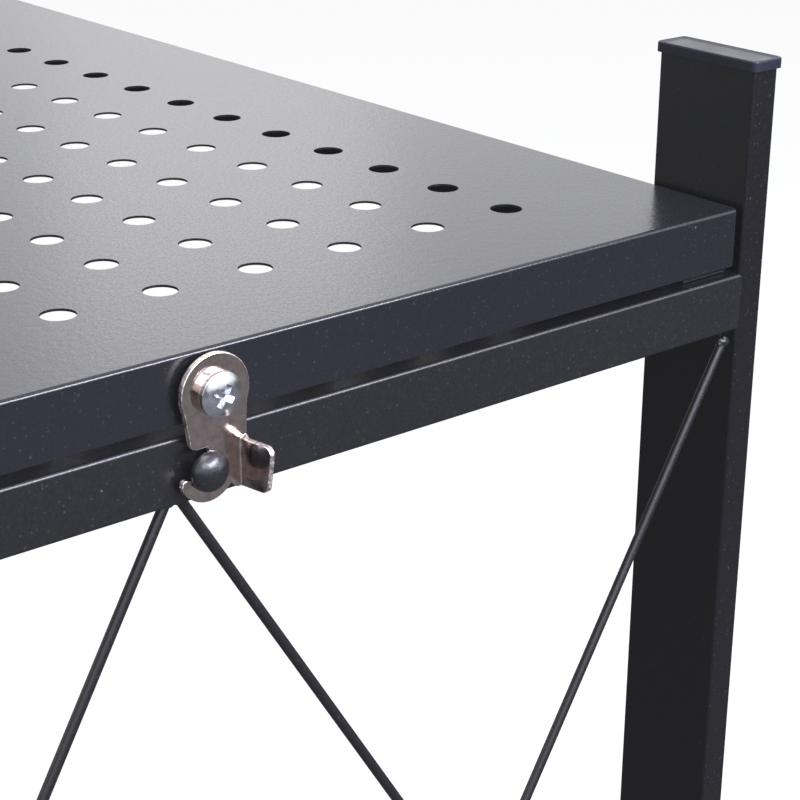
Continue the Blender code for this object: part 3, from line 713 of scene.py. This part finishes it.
def make_braces(end, body):
    """The wires of one end frame, with a bead at each end of each wire."""
    for index, side in enumerate(SIDES):
        for order, kind in enumerate(("falling", "rising")):
            node = f"brace_{end}_{side}_{kind}"
            top, foot = wire_ends(node)
            spots = {"top": weld_spot(top, foot), "foot": weld_spot(foot, top)}
            wire = wire_mesh(spots["top"], spots["foot"])
            piece(f"{node}_skin", wire, FRAME_COAT, body, [node])
            seed = 4 * index + 2 * order + (8 if end == "rear" else 0)
            for step, (place, spot) in enumerate(spots.items()):
                bead = weld_mesh(spot, seed + step)
                piece(f"weld_{end}_{side}_{kind}_{place}", bead, FRAME_COAT, body)


# Latch

def latch_outline():
    """The plate laid flat, about its screw: round head, waist, hook open to the left, and tab."""
    middle = (STUD_LOW + STUD_HIGH) / 2
    stud = Vector((middle.x - SCREW_AXIS.x, middle.z - SCREW_AXIS.z))
    head = arc((0, 0), LATCH_HEAD_RADIUS, -LATCH_SHOULDER, math.pi + LATCH_SHOULDER, 60)
    corner = (-LATCH_WAIST_LEFT + LATCH_CORNER, -LATCH_NOTCH_TOP + LATCH_CORNER)
    waist = arc(corner, LATCH_CORNER, math.pi, 1.5 * math.pi, 8) + [(stud.x, -LATCH_NOTCH_TOP)]
    slot_end = arc(stud, SLOT_RADIUS, *SLOT_SWEEP, 28)
    lip = arc((0, 0), stud.length + HOOK_LIP_PLAY, *HOOK_LIP_SWEEP, 6)
    tip = arc(HOOK_TIP, HOOK_TIP_RADIUS, *HOOK_TIP_SWEEP, 8)
    hook_end = -math.asin((stud.y + LATCH_FOOT) / HOOK_RADIUS)
    hook = arc(stud, HOOK_RADIUS, HOOK_START, hook_end, 36) + [(TAB_FOOT_START, -TAB_FOOT)]
    low = arc((TAB_FOOT_REACH - TAB_CORNER, -TAB_FOOT + TAB_CORNER), TAB_CORNER, -math.pi / 2, 0, 8)
    high = arc((TAB_TOP_REACH - TAB_CORNER, -TAB_TOP - TAB_CORNER), TAB_CORNER, 0, math.pi / 2, 8)
    fillet = (LATCH_WAIST_RIGHT + TAB_FILLET, -TAB_TOP + TAB_FILLET)
    right = arc(fillet, TAB_FILLET, 1.5 * math.pi, math.pi, 5)
    return head + waist + slot_end + lip + tip + hook + low + high + right


def smooth_step(value):
    value = min(1.0, max(0.0, value))
    return value * value * (3 - 2 * value)


def walked(run, share):
    """How far along, how far out and at what heading a strip gets that follows a share of the bend."""
    step = min(run, TAB_BEND_LENGTH)
    half = TAB_BEND * share * step / TAB_BEND_LENGTH / 2
    chord = step * math.sin(half) / half if half else step
    straight = run - step
    along = chord * math.cos(half) + straight * math.cos(2 * half)
    out = chord * math.sin(half) + straight * math.sin(2 * half)
    return along, out, 2 * half


def bent(point):
    """Where a point of the flat plate goes when the tab is bent outwards below the crease."""
    run = point.x - TAB_BEND_START
    if run <= 0:
        return point
    share = smooth_step((CREASE_TOP - point.z) / CREASE_BAND)
    along, out, heading = walked(run, share)
    x = TAB_BEND_START + along + point.y * math.sin(heading)
    return Vector((x, point.y * math.cos(heading) - out, point.z))


def bend_cuts():
    """Cuts across the flat plate, close enough together for its bend and its crease to be smooth."""
    cuts = []
    for i in range(BEND_CUTS + 1):
        cuts.append(((TAB_BEND_START + TAB_BEND_LENGTH * i / BEND_CUTS, 0, 0), (1, 0, 0)))
    for i in range(CREASE_CUTS + 1):
        cuts.append(((0, 0, CREASE_TOP - CREASE_BAND * i / CREASE_CUTS), (0, 0, 1)))
    return cuts


def wear_and_highlight_at(point):
    """How far the plating is lighter at a point of the flat plate: round its edge, partly rubbed and
    partly a painted highlight, and along its bend, a painted highlight.
    """
    if abs(point.y) < LATCH_THICKNESS / 2 - SAME_LEVEL:
        return 1.0
    if point.z > CREASE_TOP - CREASE_BAND:
        return 0.0
    return math.exp(-((point.x - BEND_HIGHLIGHT_LINE) / BEND_HIGHLIGHT_WIDTH) ** 2)


def latch_mesh():
    """The stamped plate with its edges broken, cut finely where it bends, and bent."""
    bore = circle(FASTENER_RADIUS + FASTENER_CLEARANCE, LATCH_BORE_SIDES)
    work = bmesh.new()
    work.from_mesh(plate([latch_outline(), bore], LATCH_THICKNESS, ALONG_Y, LATCH_EDGE))
    for spot, across in bend_cuts():
        everything = list(work.verts) + list(work.edges) + list(work.faces)
        bmesh.ops.bisect_plane(work, geom=everything, plane_co=spot, plane_no=across)
    place = Vector((SCREW_AXIS.x, LATCH_HIGH.y - LATCH_THICKNESS / 2, SCREW_AXIS.z))
    # Edges marked as partly worn and partly painted highlight, the bend as painted highlight
    wear_and_highlight = work.verts.layers.float.new("wear_and_highlight")
    for v in work.verts:
        v[wear_and_highlight] = wear_and_highlight_at(v.co)
        v.co = bent(v.co) + place
    return from_bmesh(work)


def cross_recess(depth, reach, width):
    """A cross-shaped driver recess, tapering downwards from z 0."""
    cross = []
    for turn in (0, math.pi / 2):
        work = bmesh.new()
        bmesh.ops.create_cube(work, size=1)
        for v in work.verts:
            deep = v.co.z < 0
            v.co.x = math.copysign(reach * (RECESS_FOOT_REACH if deep else RECESS_FLARE), v.co.x)
            v.co.y = math.copysign(width / 2 * (RECESS_FOOT_WIDTH if deep else RECESS_FLARE), v.co.y)
            v.co.z = -depth if deep else depth * RECESS_RISE
        bmesh.ops.rotate(work, cent=(0, 0, 0), matrix=Matrix.Rotation(turn, 3, "Z"), verts=work.verts)
        cross.append(from_bmesh(work))
    return cut(cross[0], cross[1:], "UNION")


def screw_mesh():
    """A pan-head screw with a cross recess, its axis along -Y, in place."""
    radius = (SCREW_HIGH.x - SCREW_LOW.x) / 2
    crown = END_PLANE - SCREW_LOW.y - SCREW_SHORT
    seat = END_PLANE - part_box("latch_washer_front")[0].y + SCREW_HEAD_GAP
    tail = SCREW_HIGH.y - END_PLANE
    head = [(r, seat + z) for r, z in pan_profile(radius, crown - seat)]
    profile = head + [(FASTENER_RADIUS, seat), (FASTENER_RADIUS, -tail), (0, -tail)]
    mesh = lathe(profile, sides=HEAD_SIDES)
    recess = cross_recess(RECESS_DEPTH, RECESS_REACH, RECESS_WIDTH)
    recess.transform(Matrix.Translation((0, 0, crown)) @ Matrix.Rotation(RECESS_TURN, 4, "Z"))
    mesh = cut(mesh, [recess])
    mesh.transform(Matrix.Translation((SCREW_AXIS.x, END_PLANE, SCREW_AXIS.z)) @ ALONG_Y)
    return mesh


def pan_profile(radius, height):
    """A pan head from its crown to its seat: a flat dome, a round shoulder and a short undercut side."""
    edge = SCREW_HEAD_EDGE
    lift = height - SCREW_CROWN
    top = [(r, z + lift) for r, z in dome(radius - edge, SCREW_CROWN, 8)]
    shoulder = arc((radius - edge, lift - edge), edge, math.pi / 2, 0, 6)
    return top[:-1] + shoulder + [(radius - SCREW_HEAD_TAPER, 0)]


def washer_mesh():
    """The washer under the screw's head, its upper outer edge rounded, in place."""
    low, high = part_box("latch_washer_front")
    outer = (high.x - low.x) / 2
    inner = FASTENER_RADIUS + FASTENER_CLEARANCE
    foot = LATCH_HIGH.y - LATCH_THICKNESS
    thick = foot - low.y
    crown = (outer - WASHER_EDGE, thick - WASHER_EDGE)
    profile = [(inner, thick)] + arc(crown, WASHER_EDGE, math.pi / 2, 0, 5)
    profile += [(outer, 0), (inner, 0), (inner, thick)]
    return lathe(profile, Matrix.Translation((SCREW_AXIS.x, foot, SCREW_AXIS.z)) @ ALONG_Y)


def stud_mesh():
    """The riveted stud: a full dome with a slightly dented crown, shank and upset."""
    middle = (STUD_LOW + STUD_HIGH) / 2
    radius = (STUD_HIGH.x - STUD_LOW.x) / 2
    seat = END_PLANE - STUD_LOW.y - STUD_HEAD_HEIGHT
    inside = -(BAR_WALL + FASTENER_CLEARANCE)
    quarter = arc((0, 0), 1, math.pi / 2, 0, 16)
    profile = [(radius * r, seat + STUD_HEAD_HEIGHT * z) for r, z in quarter]
    profile += [(STUD_SHANK, seat), (STUD_SHANK, inside), (STUD_UPSET, inside)]
    profile += [(STUD_UPSET, inside - STUD_UPSET_HEIGHT), (0, inside - STUD_UPSET_HEIGHT)]
    mesh = lathe(profile, sides=HEAD_SIDES)
    for v in mesh.vertices:
        if v.co.z > seat:
            v.co.z -= STUD_DENT * max(0.0, noise.noise(v.co * STUD_DENT_SCALE + STUD_DENT_SHIFT))
    mesh.transform(Matrix.Translation((middle.x, END_PLANE, middle.z)) @ ALONG_Y)
    return mesh


def make_latches():
    pieces = {
        "latch": (latch_mesh(), NICKEL), "latch_screw": (screw_mesh(), ZINC),
        "latch_washer": (washer_mesh(), NICKEL), "latch_stud": (stud_mesh(), STUD_COAT),
    }
    bodies = {"latch": "latch_{}", "latch_stud": "leg_frame_{}"}
    for end, turn in TURNS.items():
        for kind, (mesh, material) in pieces.items():
            body = bodies.get(kind, "deck").format(end)
            piece(f"{kind}_{end}_skin", mesh, material, body, [f"{kind}_{end}"], turn)


# Fold pivots and small hardware

def bolt_mesh():
    """A low round-headed bolt with a six-sided recess, its axis along +X, in place."""
    radius = (BOLT_HIGH.z - BOLT_LOW.z) / 2
    seat = POST_HIGH.x + FASTENER_CLEARANCE
    head = [(r, seat + z) for r, z in dome(radius, BOLT_HIGH.x - seat, 10)]
    profile = head + [(radius - BOLT_UNDERCUT, seat), (FASTENER_RADIUS, seat)]
    profile += [(FASTENER_RADIUS, BOLT_LOW.x), (0, BOLT_LOW.x)]
    recess = rod(BOLT_RECESS_RADIUS, BOLT_RECESS_LENGTH, 6, Matrix.Translation((0, 0, BOLT_HIGH.x)))
    mesh = cut(lathe(profile), [recess])
    mesh.transform(Matrix.Translation((0, FOLD_AXIS.y, FOLD_AXIS.z)) @ ALONG_X)
    return mesh


def make_pivots():
    bolt = bolt_mesh()
    half = Matrix.Translation(FOLD_AXIS) @ HALF_TURN @ Matrix.Translation(-FOLD_AXIS)
    for end, turn in TURNS.items():
        for side in SIDES:
            seen = side if end == "front" else OTHER_SIDE[side]
            move = turn @ (half if side == "left" else Matrix.Identity(4))
            node = f"pivot_bolt_{end}_{seen}"
            piece(f"{node}_skin", bolt, ZINC, "deck", [node], move)


def finish_hardware():
    """Nuts, washers and spacers keep their solids, with broken edges and their plating."""
    for name, node in frame["nodes"].items():
        if not name.startswith(("pivot_washer", "pivot_nut", "latch_nut", "latch_spacer")):
            continue
        node.data.materials.clear()
        node.data.materials.append(ZINC)
        join = node.modifiers.new("join", "WELD")
        join.merge_threshold = SAME_POINT
        edge = node.modifiers.new("edges", "BEVEL")
        edge.width = HARDWARE_EDGE
        edge.segments = HARDWARE_EDGE_STEPS
        edge.limit_method = "ANGLE"
        edge.angle_limit = HARDWARE_EDGE_ANGLE
        edge.harden_normals = True


# Studio and camera

def seen_as_background(tree, in_mirrors):
    """1 for what the camera sees, also through glass, a share of it in mirrors, 0 for other rays."""
    rays = tree.nodes.new("ShaderNodeLightPath")
    mirrored = tree.nodes.new("ShaderNodeMath")
    mirrored.operation = "MULTIPLY"
    mirrored.inputs[1].default_value = in_mirrors
    tree.links.new(rays.outputs["Is Glossy Ray"], mirrored.inputs[0])
    seen = mirrored.outputs["Value"]
    for kind in ("Is Camera Ray", "Is Transmission Ray"):
        step = tree.nodes.new("ShaderNodeMath")
        step.operation = "MAXIMUM"
        tree.links.new(rays.outputs[kind], step.inputs[0])
        tree.links.new(seen, step.inputs[1])
        seen = step.outputs["Value"]
    return seen


def floor_material():
    """A floor that reads white and keeps the table's shadow, is dimmer in mirrors and lights little."""
    material = bpy.data.materials.new("floor")
    material.use_nodes = True
    tree = material.node_tree
    tree.nodes.clear()
    dim = tree.nodes.new("ShaderNodeBsdfDiffuse")
    dim.inputs["Color"].default_value = FLOOR_LIGHT_BACK
    lit = tree.nodes.new("ShaderNodeBsdfDiffuse")
    lit.inputs["Color"].default_value = FLOOR_SEEN
    glow = tree.nodes.new("ShaderNodeEmission")
    glow.inputs["Strength"].default_value = FLOOR_GLOW
    white = tree.nodes.new("ShaderNodeAddShader")
    tree.links.new(lit.outputs["BSDF"], white.inputs[0])
    tree.links.new(glow.outputs["Emission"], white.inputs[1])
    choice = tree.nodes.new("ShaderNodeMixShader")
    tree.links.new(seen_as_background(tree, FLOOR_IN_MIRRORS), choice.inputs["Fac"])
    tree.links.new(dim.outputs["BSDF"], choice.inputs[1])
    tree.links.new(white.outputs["Shader"], choice.inputs[2])
    output = tree.nodes.new("ShaderNodeOutputMaterial")
    tree.links.new(choice.outputs["Shader"], output.inputs["Surface"])
    return material


def make_floor():
    work = bmesh.new()
    bmesh.ops.create_grid(work, x_segments=4, y_segments=4, size=FLOOR_HALF_SIZE)
    mesh = from_bmesh(work)
    mesh.materials.append(floor_material())
    floor = bpy.data.objects.new("floor", mesh)
    floor.location.z = -FLOOR_DROP
    bpy.context.scene.collection.objects.link(floor)


def make_world():
    """Dim soft fill, and a white surround for what looks past the floor."""
    world = bpy.data.worlds.new("studio")
    bpy.context.scene.world = world
    world.use_nodes = True
    tree = world.node_tree
    back = tree.nodes["Background"]
    back.inputs["Color"].default_value = WORLD_TINT
    level = tree.nodes.new("ShaderNodeMapRange")
    level.inputs["To Min"].default_value = WORLD_FILL
    level.inputs["To Max"].default_value = WORLD_WHITE
    tree.links.new(seen_as_background(tree, WORLD_IN_MIRRORS), level.inputs["Value"])
    tree.links.new(level.outputs["Result"], back.inputs["Strength"])


def area_lamp(name, place, target, size, radiance, colour):
    """A square-on soft box. Its power follows from the brightness of its face."""
    lamp = bpy.data.lights.new(name, "AREA")
    lamp.shape = "RECTANGLE"
    lamp.color = colour
    lamp.size, lamp.size_y = size
    lamp.energy = radiance * math.pi * size[0] * size[1]
    holder = bpy.data.objects.new(name, lamp)
    holder.location = place
    holder.rotation_euler = (Vector(target) - Vector(place)).to_track_quat("-Z", "Y").to_euler()
    holder.visible_camera = False
    bpy.context.scene.collection.objects.link(holder)


def make_lamps():
    middle = Vector((0, END_PLANE, DECK_TOP))
    for name, (right, up, distance, size, radiance, colour) in LAMPS.items():
        turn = Matrix.Rotation(math.radians(right), 3, "Z") @ Matrix.Rotation(-math.radians(up), 3, "X")
        direction = turn @ Vector((0, -1, 0))
        area_lamp(name, middle + direction * distance, middle, size, radiance, colour)


def make_camera():
    camera = bpy.data.cameras.new("camera")
    camera.sensor_fit = "HORIZONTAL"
    camera.sensor_width = CAMERA_SENSOR
    camera.lens = CAMERA_LENS
    camera.clip_start = CAMERA_CLIP_START
    camera.clip_end = CAMERA_CLIP_END
    holder = bpy.data.objects.new("camera", camera)
    forward = CAMERA_FORWARD.normalized()
    right = (CAMERA_RIGHT - CAMERA_RIGHT.dot(forward) * forward).normalized()
    up = right.cross(forward)
    turn = Matrix((right, up, -forward)).transposed()
    holder.matrix_world = Matrix.Translation(CAMERA_PLACE) @ turn.to_4x4()
    bpy.context.scene.collection.objects.link(holder)
    bpy.context.scene.camera = holder


make_deck()
make_frames()
make_latches()
make_pivots()
finish_hardware()
make_floor()
make_world()
make_lamps()
make_camera()
bpy.context.scene.view_settings.view_transform = "Standard"

bpy.context.view_layer.update()
